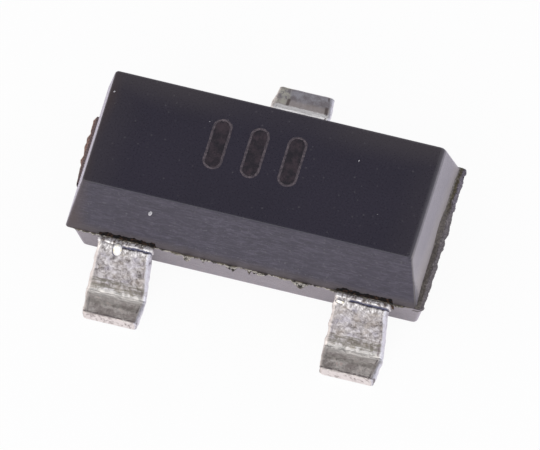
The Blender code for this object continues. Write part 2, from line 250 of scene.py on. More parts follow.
def placeCamera(v):
    azimuth, elevation, roll = (math.radians(v[key]) for key in ("azimuth", "elevation", "roll"))
    level = Vector((math.cos(azimuth), math.sin(azimuth), 0))
    upright = Vector((-math.sin(elevation) * math.sin(azimuth),
                      math.sin(elevation) * math.cos(azimuth), math.cos(elevation)))
    right = level * math.cos(roll) - upright * math.sin(roll)
    up = level * math.sin(roll) + upright * math.cos(roll)
    back = right.cross(up)
    width, height = v["imageSize"]
    aside = (width / 2 - v["middlePixel"][0]) / v["pixelsPerMm"]
    below = (v["middlePixel"][1] - height / 2) / v["pixelsPerMm"]
    spot = Vector((0, 0, partingZ)) + right * aside + up * below + back * v["distance"]
    data = bpy.data.cameras.new("photoCamera")
    data.type = "ORTHO"
    data.ortho_scale = width / v["pixelsPerMm"] * mm
    data.clip_start = 0.1 * mm
    data.clip_end = 1000 * mm
    camera = bpy.data.objects.new("photoCamera", data)
    camera.matrix_world = Matrix((right, up, back)).transposed().to_4x4()
    camera.location = spot * mm
    scene.collection.objects.link(camera)
    scene.camera = camera


placeCamera(cameraView)
print("camera placed")


# Studio: a white floor, a dim soft panel overhead and one lamp near the top

studio = {
    "floorHalf": 80.0,
    "floorColour": (0.93, 0.93, 0.93),
    "floorPale": (0.95, 0.95, 0.95),
    "floorGrain": 0.4,
    "floorWhite": 0.94,              # share of plain white that the camera and reflections see
    "paperTint": (0.985, 0.95, 1.0),   # the white paper, as the object mirrors it
    "panelHeight": 40.0,
    "panelHalf": 260.0,
    "panelLight": 1.0,
    "panelShade": 0.22,              # brightness of the shaded round that the flat tops mirror
    "shadeSpot": (-7.0, 24.0),
    "shadeRound": (18.0, 52.0),      # from the middle of that round to its edge
    "panelColour": (0.95, 0.95, 1.0),
    "lampSpot": (-8.0, -22.0, 34.0),
    "lampSize": 50.0,
    "lampWatts": 0.0045,
    "lampColour": (1.0, 0.985, 0.96),
    "worldLight": 1.0,
}


def stagePlane(name, half, height, facing, material):
    bm = bmesh.new()
    corners = ((-half, -half), (half, -half), (half, half), (-half, half))
    bm.faces.new([bm.verts.new((x * mm, y * mm, height * mm)) for x, y in corners[::facing]])
    plane = bpy.data.objects.new(name, meshFrom(name, bm))
    plane.data.materials.append(material)
    scene.collection.objects.link(plane)


def buildStudio(s):
    paper, where, shader = startMaterial("whitePaper")
    tree = paper.node_tree
    grain = noiseAt(where, s["floorGrain"])
    feed(shader, Base_Color=blend(grain, s["floorColour"], s["floorPale"]), Roughness=0.9,
         Specular_IOR_Level=0.1)
    path = addNode(tree, "ShaderNodeLightPath").outputs
    white = blend(path["Is Camera Ray"], s["paperTint"], (1, 1, 1))
    glow = addNode(tree, "ShaderNodeEmission", {"Color": white, "Strength": 1.0})
    seen = plus(path["Is Camera Ray"], path["Is Glossy Ray"], path["Is Transmission Ray"])
    share = times(calc("MINIMUM", seen, 1.0), s["floorWhite"])
    both = addNode(tree, "ShaderNodeMixShader", {0: share, 1: shader, 2: glow})
    connect(tree.nodes["Material Output"], {"Surface": both})
    stagePlane("floor", s["floorHalf"], 0.0, 1, paper)

    cloth = bpy.data.materials.new("softPanel")
    cloth.use_nodes = True
    tree = cloth.node_tree
    flat = stretched(addNode(tree, "ShaderNodeTexCoord").outputs["Object"], (1 / mm, 1 / mm, 0.0))
    away = join("ShaderNodeVectorMath", {0: flat, 1: (*s["shadeSpot"], 0.0)}, "Value", operation="DISTANCE")
    light = ease(away, *s["shadeRound"], s["panelShade"], s["panelLight"])
    glow = addNode(tree, "ShaderNodeEmission", {"Color": s["panelColour"], "Strength": light})
    connect(tree.nodes["Material Output"], {"Surface": glow})
    stagePlane("overheadPanel", s["panelHalf"], s["panelHeight"], -1, cloth)

    data = bpy.data.lights.new("keyLamp", "AREA")
    data.shape = "DISK"
    data.size = s["lampSize"] * mm
    data.energy = s["lampWatts"]
    data.color = s["lampColour"]
    lamp = bpy.data.objects.new("keyLamp", data)
    lamp.location = Vector(s["lampSpot"]) * mm
    lamp.rotation_mode = "QUATERNION"
    lamp.rotation_quaternion = (Vector((0, 0, topZ * mm)) - lamp.location).to_track_quat("-Z", "Y")
    scene.collection.objects.link(lamp)

    world = bpy.data.worlds.new("studioWorld")
    world.use_nodes = True
    connect(world.node_tree.nodes["Background"], {"Color": (1, 1, 1), "Strength": s["worldLight"]})
    scene.world = world


buildStudio(studio)
print("studio built")


# Black moulding epoxy: fine matte grain, filler specks, and streaks from the mould on the walls

epoxyLook = {
    "dark": (0.0115, 0.0090, 0.0195),
    "light": (0.0225, 0.0178, 0.0350),
    "wall": (0.0215, 0.0168, 0.0355),
    # painted light on the lower half: lighter for the floor's light, over a warm tone
    "litLowerHalf": (0.104, 0.076, 0.070),
    "litLowerPale": (0.126, 0.094, 0.084),
    "endFringe": (0.290, 0.262, 0.235),
    "streak": (0.060, 0.051, 0.078),
    "wallSpeck": (0.120, 0.115, 0.130),
    # painted light on the end walls, standing in for their bright grazing reflection
    "litEndWall": (0.142, 0.133, 0.150),
    "partingShade": (0.056, 0.042, 0.043),
    "brownEdge": (0.056, 0.033, 0.026),
    "speck": (0.085, 0.080, 0.090),
    "rootDarkBand": (0.010, 0.007, 0.006),
    "rimPale": (0.062, 0.053, 0.055),
    "darkEndCorner": (0.012, 0.009, 0.014),
    "brownFrom": (-1.40, -1.25),     # x over which the left edge's brown fades out
    "paleRear": (0.20, 0.50),        # y over which the rear rim grows paler
    "paleLeft": (-1.32, -0.98),
    "paleRight": (1.00, 1.30),
    "frontSlope": 0.268,             # how far the front face leans back as it rises
    "fringeHeight": (0.09, 0.30),    # over which the end wall's cream fringe fades out
    "roughness": (0.26, 0.40),
    "wallRoughness": 0.15,           # the drafted walls are rougher than the top by this much
    "ior": 1.6,
    "sheen": 1.0,
    "sheenRoughness": 0.36,
    "sheenTint": (0.945, 0.885, 1.0),
    "grainHeight": 0.0005,
    "streakHeight": 0.0020,
    "waveHeight": 0.0008,
}


def makeEpoxy(look):
    material, where, shader = startMaterial("blackEpoxy")
    sideness, _, upness = parts(addNode(material.node_tree, "ShaderNodeTexCoord").outputs["Normal"])
    wall = fall(calc("ABSOLUTE", upness), 0.6, 0.9)
    endWall = ease(calc("ABSOLUTE", sideness), 0.6, 0.95)
    x, y, z = parts(where)

    wide = noiseAt(where, 1.1, 3.0)
    grain = noiseAt(where, 70.0, 2.0, 0.7)
    wave = noiseAt(where, 11.0, 2.0)
    flecks = noiseAt(where, 44.0, 3.0, 0.75)
    broad = noiseAt(stretched(where, (7.0, 7.0, 22.0)), 1.0, 3.0, 0.6)
    streaks = noiseAt(stretched(where, (14.0, 14.0, 66.0)), 1.0, 3.0, 0.7)
    shown = ease(noiseAt(where, 2.4, 2.0), 0.42, 0.60, 0.55, 0.85)
    cells = join("ShaderNodeTexVoronoi", {"Vector": where, "Scale": 26.0}).node.outputs
    pick = join("ShaderNodeSeparateColor", {0: cells["Color"]})
    specks = times(fall(cells["Distance"], 0.12, 0.26), ease(pick, 0.72, 0.95))

    # A paler tone along the rim of the top
    rimPaling = times(ease(y, *look["paleRear"], 0.0, 0.55), ease(calc("ABSOLUTE", x), 0.15, 0.75, 0.40, 1.0))
    rimPaling = calc("MAXIMUM", rimPaling, fall(x, *look["paleLeft"], 0.26), ease(x, *look["paleRight"], 0.0, 0.18))

    # Over the parting line: shade on the long walls, a cream fringe, and at the right end a ragged strip by
    # the front corner kept dark, where the end wall's painted light is taken off
    rise = wander(minus(z, partingZ), wave, 0.05)
    shade = times(fall(rise, 0.02, 0.11), ease(rise, -0.012, -0.004), minus(1.0, endWall), 0.8)
    rightEnd = times(endWall, calc("GREATER_THAN", x, 0.0))
    fringe = plus(wander(rise, flecks, 0.12), times(y, 0.10))
    fringe = times(fall(fringe, *look["fringeHeight"]), ease(rise, -0.01, 0.0), rightEnd, 0.85)
    inward = minus(plus(y, faceY), times(rise, look["frontSlope"]), ease(rise, 0.02, 0.42, 0.085, -0.012))
    darkEndStrip = times(fall(wander(inward, flecks, 0.13), -0.006, 0.010, 0.95), rightEnd)

    mixed = minus(plus(times(wide, 0.9), times(grain, 1.3)), 0.6)
    # The lower half: a warm tone, made lighter as painted light from the floor below it
    litLowerTone = blend(ease(wave, 0.36, 0.70), look["litLowerHalf"], look["litLowerPale"])
    colour = painted(blend(mixed, look["dark"], look["light"]), look, [
        ("wall", times(wall, 0.6)),
        ("streak", times(ease(broad, 0.48, 0.64, 0.0, 0.36), wall)),
        ("streak", times(ease(streaks, 0.46, 0.66), wall, shown)),
        ("dark", times(fall(streaks, 0.34, 0.46), wall, shown, 0.9)),
        ("wallSpeck", times(ease(flecks, 0.58, 0.70), wall, 0.5)),
        # painted light: the end walls are lighter, standing in for the bright reflection they catch at a
        # grazing angle
        ("litEndWall", times(endWall, ease(flecks, 0.35, 0.65, 0.62, 0.98))),
        ("speck", times(specks, 0.6)),
        ("brownEdge", fall(wander(x, wide, 0.25), *look["brownFrom"], 0.75)),
        ("rimPale", times(rimPaling, ease(upness, 0.6, 0.9))),
        ("partingShade", shade),
        ("endFringe", fringe),
        ("endFringe", times(fall(y, -0.62, -0.20, 0.40), rightEnd)),
        # the end wall's painted light taken off again along a ragged strip by its front corner
        ("darkEndCorner", darkEndStrip),
        (litLowerTone, times(calc("LESS_THAN", z, partingZ - 0.001), 0.85)),
        ("rootDarkBand", rootDarkBand(where))])

    rough = plus(ease(grain, 0.3, 0.7, *look["roughness"]), times(wall, look["wallRoughness"]))
    ridges = times(streaks, wall, look["streakHeight"], shown)
    height = plus(times(grain, look["grainHeight"]), times(wave, look["waveHeight"]), ridges)
    feed(shader, Base_Color=colour, Roughness=rough, IOR=look["ior"], Sheen_Weight=look["sheen"],
         Sheen_Roughness=look["sheenRoughness"], Sheen_Tint=look["sheenTint"])
    addBump(shader, height)
    return material


# A dark band on the front and rear faces, just above each lead
def rootDarkBand(where):
    x, y, z = parts(where)
    rise = wander(minus(z, partingZ), noiseAt(where, 45.0, 3.0, 0.7), 0.05)
    upright = times(fall(rise, 0.028, 0.05), ease(rise, -0.02, 0.0))
    near = []
    for node, side in leadSides.items():
        low, high = leadFacts(node)[3:]
        beside = band(x, (low + high) / 2, (high - low) / 2, 0.03)
        near.append(times(beside, calc("GREATER_THAN", times(y, side), 0.3)))
    return times(plus(*near), upright, 0.9)


# A lead's points, the reach of its tip, its thickness, and the lowest and highest x of its foot
def leadFacts(node):
    points = [vertex.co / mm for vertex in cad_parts[node].data.vertices]
    tip = max(abs(point.y) for point in points)
    foot = [point for point in points if abs(point.y) > tip - footLength]
    xs = [point.x for point in foot]
    return points, tip, max(point.z for point in foot), min(xs), max(xs)


blackEpoxy = makeEpoxy(epoxyLook)


# Matte tin on the leads, coloured by how far along and across the lead a point lies

tinLook = {
    "pit": (0.16, 0.145, 0.14),
    "dull": (0.46, 0.430, 0.420),
    "bright": (0.79, 0.765, 0.76),
    "lavender": (0.52, 0.50, 0.60),
    "warm": (0.58, 0.51, 0.43),
    # near-white rim: partly its lumpy plating, partly a painted highlight
    "rim": (0.98, 0.96, 0.94),
    "rimPit": (0.26, 0.22, 0.20),
    # painted shade in the crease below the rim
    "crease": (0.055, 0.06, 0.12),
    "stripe": (0.23, 0.215, 0.18),
    "glint": (0.42, 0.415, 0.41),
    "foot": (0.475, 0.42, 0.395),
    # pale foot tone, also used as painted light just below the heel
    "footPale": (0.80, 0.76, 0.71),
    "blush": (0.80, 0.66, 0.61),
    "edgeLine": (0.20, 0.17, 0.17),
    "rear": (0.50, 0.485, 0.52),
    "rearDark": (0.33, 0.30, 0.31),
    "rearCream": (0.68, 0.66, 0.57),
    "rearWarm": (0.60, 0.53, 0.49),
    "rearMark": (0.17, 0.14, 0.13),
    "rearMarks": (-0.107, 0.172),    # two rub marks across the rear foot
    "leftSideLit": (0.86, 0.79, 0.73),
    "rightSideLit": (0.74, 0.735, 0.80),
    "tip": (0.84, 0.79, 0.755),
    "tipPit": (0.47, 0.42, 0.405),
    "mottleStops": (0.36, 0.49, 0.64),      # of pit, dull and bright along the mottling
    "rimAt": 0.022,                  # places along the run, from the body to the tip
    "heelAt": 0.488,
    "footFrom": (0.496, 0.520),
    "tipFrom": (0.678, 0.686),
    "roughness": (0.30, 0.46),
    "footRoughness": 0.16,           # the foot is rougher by this much
    "mottleHeight": 0.0036,
    "fineHeight": 0.0016,
}


def makeTin(look):
    material, where, shader = startMaterial("matteTin")
    tree = material.node_tree
    chart = addNode(tree, "ShaderNodeUVMap", uv_map="leadMap").outputs[0]
    across, run, _ = parts(chart)
    isRear = calc("GREATER_THAN", parts(where)[1], 0.0)

    patches = noiseAt(where, 11.0, 3.0, 0.6)
    crystals = noiseAt(where, 27.0, 4.0, 0.66, 0.6)
    fine = noiseAt(where, 120.0, 2.0, 0.6)
    drawn = noiseAt(stretched(chart, (5.0, 80.0, 1.0)), 1.0, 3.0, 0.6)
    fringe = noiseAt(stretched(chart, (34.0, 12.0, 1.0)), 1.0, 3.0, 0.7)
    mottle = plus(times(crystals, 0.85), times(patches, 0.15))
    cloud = plus(times(patches, 0.6), times(crystals, 0.4))
    edgeRun = wander(run, patches, 0.05)
    ramp = addNode(tree, "ShaderNodeValToRGB", {0: mottle})
    stops = ramp.color_ramp.elements
    stops.new(look["mottleStops"][1])
    for stop, place, name in zip(stops, look["mottleStops"], ("pit", "dull", "bright")):
        stop.position, stop.color = place, (*look[name], 1.0)

    # The foot, on the front leads and on the rear one
    footShare = ease(run, *look["footFrom"])
    drift = wander(run, patches, 0.06)
    footTone = painted(blend(ease(cloud, 0.40, 0.60), look["foot"], look["footPale"]), look, [
        ("stripe", fall(crystals, 0.30, 0.42, 0.6)),
        # painted highlight: the foot's top is paler just below the heel, fading down the foot
        ("footPale", fall(drift, 0.510, 0.545, 0.55)),
        ("stripe", times(band(drift, 0.570, 0.014, 0.012), 0.35)),
        ("blush", times(ease(patches, 0.54, 0.64), ease(crystals, 0.50, 0.60), 0.65)),
        ("stripe", times(fall(fine, 0.32, 0.44, 0.7), ease(run, 0.60, 0.63)))])
    cream = times(fall(wander(across, patches, 0.16), -0.15, -0.09), ease(crystals, 0.36, 0.60))
    rearTone = painted(blend(ease(cloud, 0.40, 0.60), look["rearDark"], look["rear"]), look, [
        ("rearWarm", fall(run, 0.56, 0.60, 0.6)),
        ("rearCream", cream),
        *(("rearMark", times(band(across, place, 0.006, 0.010), fall(run, 0.58, 0.60, 0.85)))
          for place in look["rearMarks"])])

    # The rub marks above the heel, its glint, and the teeth below the rim
    rubbed = times(band(edgeRun, 0.420, 0.040, 0.018), ease(crystals, 0.36, 0.56, 0.75, 0.2))
    stripes = plus(band(edgeRun, 0.382, 0.008, 0.012), band(edgeRun, 0.436, 0.012, 0.012))
    # painted light on the heel's glint band: it turns to the pale foot tone where the heel mirrors the
    # shaded panel, and on the rear lead to a white painted highlight
    glint = painted(blend(ease(crystals, 0.35, 0.65), look["stripe"], look["footPale"]), look, [
        ("glint", 0.55), ("footPale", ease(edgeRun, 0.468, 0.492)), ("rim", isRear)])
    heelRun = minus(edgeRun, times(isRear, 0.012))
    teeth = blend(ease(fringe, 0.44, 0.60), look["pit"], look["rim"])

    # The sides and the tip, with dark lines where the top ends
    off = wander(calc("ABSOLUTE", across), patches, 0.02)
    line = times(band(off, 0.178, 0.003, 0.008), ease(cloud, 0.48, 0.56))
    line = times(line, ease(across, -0.1, 0.1, 0.45, 0.8))
    # painted light: the sides are pale where their rounded edges catch the light, warm on the left and
    # lavender on the right
    side = blend(ease(across, -0.1, 0.1), look["leftSideLit"], look["rightSideLit"])
    side = blend(fall(crystals, 0.36, 0.50, 0.45), side, look["dull"])
    tipRun = wander(run, crystals, 0.03)
    brink = times(band(tipRun, 0.670, 0.003, 0.005), ease(crystals, 0.38, 0.50))
    tipTone = blend(ease(mottle, 0.38, 0.50), look["tipPit"], look["tip"])
    # The rim by the body is near white: partly its lumpy plating, partly a painted highlight
    rimTone = blend(times(stored(tree, "lump"), ease(crystals, 0.36, 0.48)), look["rimPit"], look["rim"])

    colour = painted(ramp.outputs[0], look, [
        ("lavender", ease(patches, 0.50, 0.66, 0.0, 0.30)),
        ("warm", fall(patches, 0.36, 0.48, 0.30)),
        (blend(isRear, footTone, rearTone), footShare),
        ("stripe", rubbed),
        ("stripe", times(stripes, ease(drawn, 0.38, 0.52), 0.7)),
        (glint, band(heelRun, look["heelAt"], 0.022, 0.014)),
        (teeth, times(band(edgeRun, 0.086, 0.010, 0.024), 0.6)),
        ("edgeLine", line),
        (side, ease(off, 0.184, 0.200, 0.0, 0.9)),
        ("edgeLine", times(brink, ease(isRear, 0.0, 1.0, 0.85, 0.35))),
        (tipTone, ease(tipRun, *look["tipFrom"])),
        (rimTone, band(edgeRun, look["rimAt"], 0.022, 0.010)),
        # painted shade: the crease below the rim is dark navy, over its carved groove
        ("crease", times(stored(tree, "crease"), 0.9))])
    rough = plus(ease(fine, 0.3, 0.7, *look["roughness"]), times(footShare, look["footRoughness"]))
    height = plus(times(crystals, look["mottleHeight"]), times(fine, look["fineHeight"]))
    feed(shader, Base_Color=colour, Metallic=1.0, Roughness=rough)
    addBump(shader, height)
    return material


matteTin = makeTin(tinLook)
print("main finishes made")


# Leads: lofted again with fine facets along the same line as the solids, then given their relief

leadForm = {
    "shoulder": 0.012,         # straight before the first bend
    "bendAngle": 60.0,
    "shoulderRadius": 0.025,
    "heelRadius": 0.08,
    "heelBulge": 0.026,        # of the top's edges, where the heel was squeezed
    "slopeBulge": 0.8,         # share of it that is reached at the foot of the slope
    "underBulge": 0.25,        # share of it that the underside has
    "tipBulge": 0.007,
    "edgeRadius": 0.018,
    "tipRounding": 0.014,
    "tipCorner": 0.024,        # rounding of the tip's corners, seen from above
    "facet": 0.005,
    "cornerSteps": 8,
    "edgeSteps": 5,
    "capRings": (0.8, 0.6, 0.4, 0.2, 0.0),
}


# Stations down the lead: distance out, height, tilt, bulge, and run along its top from the body
def leadStations(form, thickness, tip):
    angle = math.radians(form["bendAngle"])
    outer, inner = form["shoulderRadius"] + thickness, form["heelRadius"]
    shoulder, heel = form["shoulderRadius"] + thickness / 2, form["heelRadius"] + thickness / 2
    slope = (partingZ - thickness - (shoulder + heel) * (1 - math.cos(angle))) / math.sin(angle)
    most, reached = form["heelBulge"], form["slopeBulge"]

    def shares(length):
        count = math.ceil(length / form["facet"])
        return [step / count for step in range(1, count + 1)]

    out, height, run = faceY, partingZ - thickness / 2, 0.0
    stations = [(out, height, 0.0, 0.0, run)]
    out, run = out + form["shoulder"], run + form["shoulder"]
    stations.append((out, height, 0.0, 0.0, run))
    for share in shares(outer * angle):
        tilt = angle * share
        stations.append((out + shoulder * math.sin(tilt), height - shoulder * (1 - math.cos(tilt)),
                         tilt, 0.0, run + outer * tilt))
    out, height, _, _, run = stations[-1]
    for share in shares(slope):
        far = slope * share
        stations.append((out + far * math.cos(angle), height - far * math.sin(angle), angle,
                         most * reached * share ** 0.8, run + far))
    out, height, _, _, run = stations[-1]
    centreOut, centreHeight = out + heel * math.sin(angle), height + heel * math.cos(angle)
    for share in shares(heel * angle):
        tilt = angle * (1 - share)
        stations.append((centreOut - heel * math.sin(tilt), centreHeight - heel * math.cos(tilt),
                         tilt, most * (reached + (1 - reached) * share), run + inner * (angle - tilt)))
    out, height, _, _, run = stations[-1]
    foot = tip - form["tipCorner"] - out
    for share in shares(foot):
        bulge = most * (1 - share) + form["tipBulge"] * share
        stations.append((out + foot * share, height, 0.0, bulge, run + foot * share))
    return stations


# Section of a lead as (across, upward, corner offsets), the same number of points at every station
def leadOutline(form, width, thickness):
    r = form["edgeRadius"]
    columns = round((width - 2 * r) / form["facet"])
    rows = round((thickness - 2 * r) / form["facet"] / 2) * 2
    arc = [math.pi / 2 * step / form["edgeSteps"] for step in range(form["edgeSteps"] + 1)]
    points = [(2 * i / columns - 1, 1, 0, r) for i in range(columns)]
    points += [(1, 1, r * math.sin(a), r * math.cos(a)) for a in arc]
    points += [(1, 1 - 2 * i / rows, r, 0) for i in range(1, rows)]
    points += [(1, -1, r * math.cos(a), -r * math.sin(a)) for a in arc]
    points += [(1 - 2 * i / columns, -1, 0, -r) for i in range(1, columns)]
    points += [(-1, -1, -r * math.sin(a), -r * math.cos(a)) for a in arc]
    points += [(-1, 2 * i / rows - 1, -r, 0) for i in range(1, rows)]
    points += [(-1, 1, -r * math.cos(a), r * math.sin(a)) for a in arc[:-1]]
    return points


def leadMesh(name, node, form):
    points, tip, thickness, low, high = leadFacts(node)
    side = leadSides[node]
    wide, middle = (high - low) / 2, (low + high) / 2
    outline = leadOutline(form, wide * 2, thickness)
    r, half = form["edgeRadius"], thickness / 2
    bm = bmesh.new()
    runLayer = bm.verts.layers.float.new("run")
    acrossLayer = bm.verts.layers.float.new("across")

    def ring(centre, halfWidth, out, height, tilt, run, bulge=0.0, squeeze=1.0):
        verts = []
        for s, q, dx, dn in outline:
            n = (q * (half - r) + dn) * squeeze
            topness = 0.5 + n / half / 2
            grown = bulge * (form["underBulge"] + (1 - form["underBulge"]) * topness)
            x = centre + s * (halfWidth + grown - r) + dx
            vert = bm.verts.new((x, side * (out + n * math.sin(tilt)), height + n * math.cos(tilt)))
            vert[runLayer] = run
            vert[acrossLayer] = (x - middle) * wide / (halfWidth + grown) if squeeze == 1.0 else x - middle
            verts.append(vert)
        return verts

    inside = {}
    for point in points:
        if side * point.y < faceY - 0.01:
            inside.setdefault(round(side * point.y, 4), []).append(point.x)
    rings = []
    level = partingZ - half
    for out, xs in sorted(inside.items()):
        rings.append(ring((min(xs) + max(xs)) / 2, (max(xs) - min(xs)) / 2, out, level, 0.0, out - faceY))
    for out, height, tilt, bulge, run in leadStations(form, thickness, tip):
        rings.append(ring(middle, wide, out, height, tilt, run, bulge))
    end = rings[-1][0][runLayer]
    corner, rounding = form["tipCorner"], form["tipRounding"]
    steps = form["cornerSteps"]
    for step in range(1, steps + 1):
        turn = math.pi / 2 * step / steps
        trim = corner * (1 - math.cos(turn))
        out = tip - corner * (1 - math.sin(turn))
        lowered = rounding * (1 - math.cos(math.asin(max(0.0, 1 - (tip - out) / rounding))))
        rings.append(ring(middle, wide - trim, out, half, 0.0, end + corner * step / steps,
                          form["tipBulge"], 1 - lowered / half))
    squeezed = 1 - rounding / half
    for share in form["capRings"]:
        rings.append(ring(middle, wide - corner, tip, half, 0.0, end + corner, form["tipBulge"],
                          squeezed * share))
    count = len(outline)
    for first, second in zip(rings, rings[1:]):
        for i in range(count):
            j = (i + 1) % count
            bm.faces.new((first[i], first[j], second[j], second[i]))
    bm.faces.new(rings[0][::-1])
    bmesh.ops.remove_doubles(bm, verts=rings[-1], dist=0.0001)
    bmesh.ops.recalc_face_normals(bm, faces=bm.faces)
    return meshFrom(name, bm)


# Relief of the plated surface: mottling, the lumpy rim and the crease at the root, forming lines
def makeTinRelief():
    sizes = {"Mottle": 0.004, "Rim Height": 0.006, "Rim Lumps": 30.0, "Crease Depth": 0.006,
             "Crease From": 0.0, "Line Depth": 0.002, "Side Wander": 0.035, "Seed": 0.0}
    tree, entry = startTree("tinRelief", sizes)
    run, across = named(tree, "run"), named(tree, "across")
    where = seededPlace(tree, entry)
    normal = addNode(tree, "GeometryNodeInputNormal").outputs[0]
    sideways, _, lift = parts(normal)
    outside = times(ease(run, 0.0, 0.012), ease(lift, -0.55, -0.2))

    crystals = minus(noiseAt(where, 34.0, 3.0, 0.6, 0.3), 0.5)
    swell = minus(noiseAt(where, 10.0, 2.0), 0.5)
    relief = times(plus(crystals, times(swell, 0.7)), entry["Mottle"])

    lumps = noiseAt(joined(across, entry["Seed"]), entry["Rim Lumps"], 1.0, 0.5)
    lumps = ease(lumps, 0.38, 0.56, 0.15, 1.0)
    rim = times(band(run, 0.026, 0.012, 0.016), entry["Rim Height"], lumps)
    reached = ease(minus(across, entry["Crease From"]), 0.0, 0.03)
    crease = times(band(plus(run, times(swell, 0.02), times(crystals, 0.03)), 0.056, 0.003, 0.01), reached)
    relief = minus(plus(relief, rim), times(crease, entry["Crease Depth"]))

    linePlace = joined(times(across, 5.0), times(run, 60.0), entry["Seed"])
    lines = times(minus(noiseAt(linePlace, 1.0, 2.0), 0.5), times(entry["Line Depth"], 3.0))
    lines = times(lines, band(run, 0.43, 0.08, 0.03))
    side = times(ease(calc("ABSOLUTE", sideways), 0.6, 0.9), swell, entry["Side Wander"])
    relief = times(plus(relief, lines, side), outside)

    moved = addNode(tree, "GeometryNodeSetPosition",
                    {"Geometry": entry["Geometry"], "Offset": scaled(normal, relief)})
    keep = "GeometryNodeStoreNamedAttribute"
    mapped = addNode(tree, keep, {"Geometry": moved, "Name": "leadMap", "Value": joined(across, run)},
                     data_type="FLOAT2", domain="CORNER")
    for label, value in (("crease", crease), ("lump", lumps)):
        mapped = addNode(tree, keep, {"Geometry": mapped, "Name": label, "Value": value}, data_type="FLOAT",
                         domain="POINT")
    return endTree(tree, entry, mapped)


leadDetails = {
    "base_lead": {"Seed": 3.1, "Crease From": -0.03, "Rim Height": 0.005, "Rim Lumps": 20.0},
    "emitter_lead": {"Seed": 8.4, "Crease From": -0.11, "Rim Height": 0.009, "Rim Lumps": 30.0},
    "collector_lead": {"Seed": 5.7, "Crease From": 0.06, "Rim Height": 0.006, "Rim Lumps": 28.0},
}
tinRelief = makeTinRelief()
for node, details in leadDetails.items():
    name = node.replace("_lead", "LeadPlated")
    lead = grow(name, leadMesh(name, node, leadForm), tinRelief, "matte_tin", matteTin, **details)
    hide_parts(node)
print("leads lofted")


# Ragged epoxy: lofts along a path, whose outer points a geometry tree pushes out unevenly

# Each ring is a list of (point, how much it is pushed, which way)
def skinMesh(name, strips):
    bm = bmesh.new()
    pushLayer = bm.verts.layers.float.new("push")
    wayLayer = bm.verts.layers.float_vector.new("way")
    for rings in strips:
        rows = []
        for ring in rings:
            row = []
            for point, push, way in ring:
                vert = bm.verts.new(point)
                vert[pushLayer] = push
                vert[wayLayer] = Vector(way)
                row.append(vert)
            rows.append(row)
        count = len(rows[0])
        for low, high in zip(rows, rows[1:]):
            for i in range(count):
                j = (i + 1) % count
                bm.faces.new((low[i], low[j], high[j], high[i]))
        bm.faces.new(rows[0][::-1])
        bm.faces.new(rows[-1])
    bmesh.ops.recalc_face_normals(bm, faces=bm.faces)
    return meshFrom(name, bm)


def makeRaggedEdge():
    sizes = {"Reach": 0.008, "Coarse": 20.0, "Fine": 70.0, "Fine Depth": 0.002, "Low": 0.35, "High": 0.7,
             "Seed": 0.0}
    tree, entry = startTree("raggedEdge", sizes)
    where = seededPlace(tree, entry)
    push, way = named(tree, "push"), named(tree, "way", "FLOAT_VECTOR")
    coarse = noiseAt(where, entry["Coarse"], 3.0, 0.6)
    coarse = times(ease(coarse, entry["Low"], entry["High"]), entry["Reach"])
    fine = minus(noiseAt(where, entry["Fine"], 2.0, 0.6), 0.5)
    fine = times(fine, entry["Fine Depth"])
    move = scaled(way, times(plus(coarse, fine), push))
    moved = addNode(tree, "GeometryNodeSetPosition", {"Geometry": entry["Geometry"], "Offset": move})
    return endTree(tree, entry, moved)


def between(start, end, step):
    count = max(1, math.ceil(abs(end - start) / step))
    return [start + (end - start) * i / count for i in range(count + 1)]


bodyForm = {
    "upperEnds": (-1.44, 1.37),      # ends of the upper half at the parting line
    "upperDraft": 15.0,              # of the front and rear faces
    "lowerDraft": 11.7,
    "rightDraft": 6.8,
    "cornerRadius": 0.02,
}


# Point on the front (side -1) or rear face, at a height over or under the parting line
def facePoint(x, rise, side=-1, proud=0.0):
    draft = math.radians(bodyForm["upperDraft"] if rise >= 0 else bodyForm["lowerDraft"])
    y = side * (faceY - abs(rise) * math.tan(draft) + proud * math.cos(draft))
    return Vector((x, y, partingZ + rise + proud * math.sin(draft) * (1 if rise >= 0 else -1)))


# Thin fins of squeezed-out epoxy along the lower edge of the upper half, front and rear
flashFin = {
    "step": 0.005,
    "root": 0.004,                   # how far it reaches into the body
    "thickness": 0.007,
    "reach": 0.003,
    "fade": 0.12,                    # it dies away over this length at its ends
    "least": 0.65,
    "surges": ((-0.455, 0.035, 1.3), (0.01, 0.16, 1.7), (0.47, 0.10, 1.4), (-0.30, 0.08, 0.6)),
    "ragged": {"Reach": 0.027, "Coarse": 19.0, "Fine": 100.0, "Fine Depth": 0.009, "Low": 0.38,
               "High": 0.66, "Seed": 2.3},
}


def flashMesh(name, form):
    thick = form["thickness"] / 2
    section = ((-form["root"], thick, 0.0), (0.0, thick, 0.2), (form["reach"] * 0.6, thick * 0.8, 0.65),
               (form["reach"], thick * 0.4, 1.0), (form["reach"], -thick * 0.4, 1.0), (0.0, -thick, 0.2),
               (-form["root"], -thick, 0.0))
    x0, x1 = (end - side * bodyForm["cornerRadius"] for end, side in zip(bodyForm["upperEnds"], (-1, 1)))
    strips = []
    for side in (-1, 1):
        rings = []
        for x in between(x0, x1, form["step"]):
            amount = form["least"] * min(1.0, (x - x0) / form["fade"], (x1 - x) / form["fade"])
            for place, half, more in form["surges"]:
                amount += more * max(0.0, 1 - ((x - place) / half) ** 2)
            ring = []
            for out, up, push in section:
                out = out if out < 0 else (out + form["root"] / 2) * min(amount * 2, 1.0) - form["root"] / 2
                ring.append(((x, side * (faceY + out), partingZ + up), push * amount, (0, side, 0)))
            rings.append(ring)
        strips.append(rings)
    return skinMesh(name, strips)


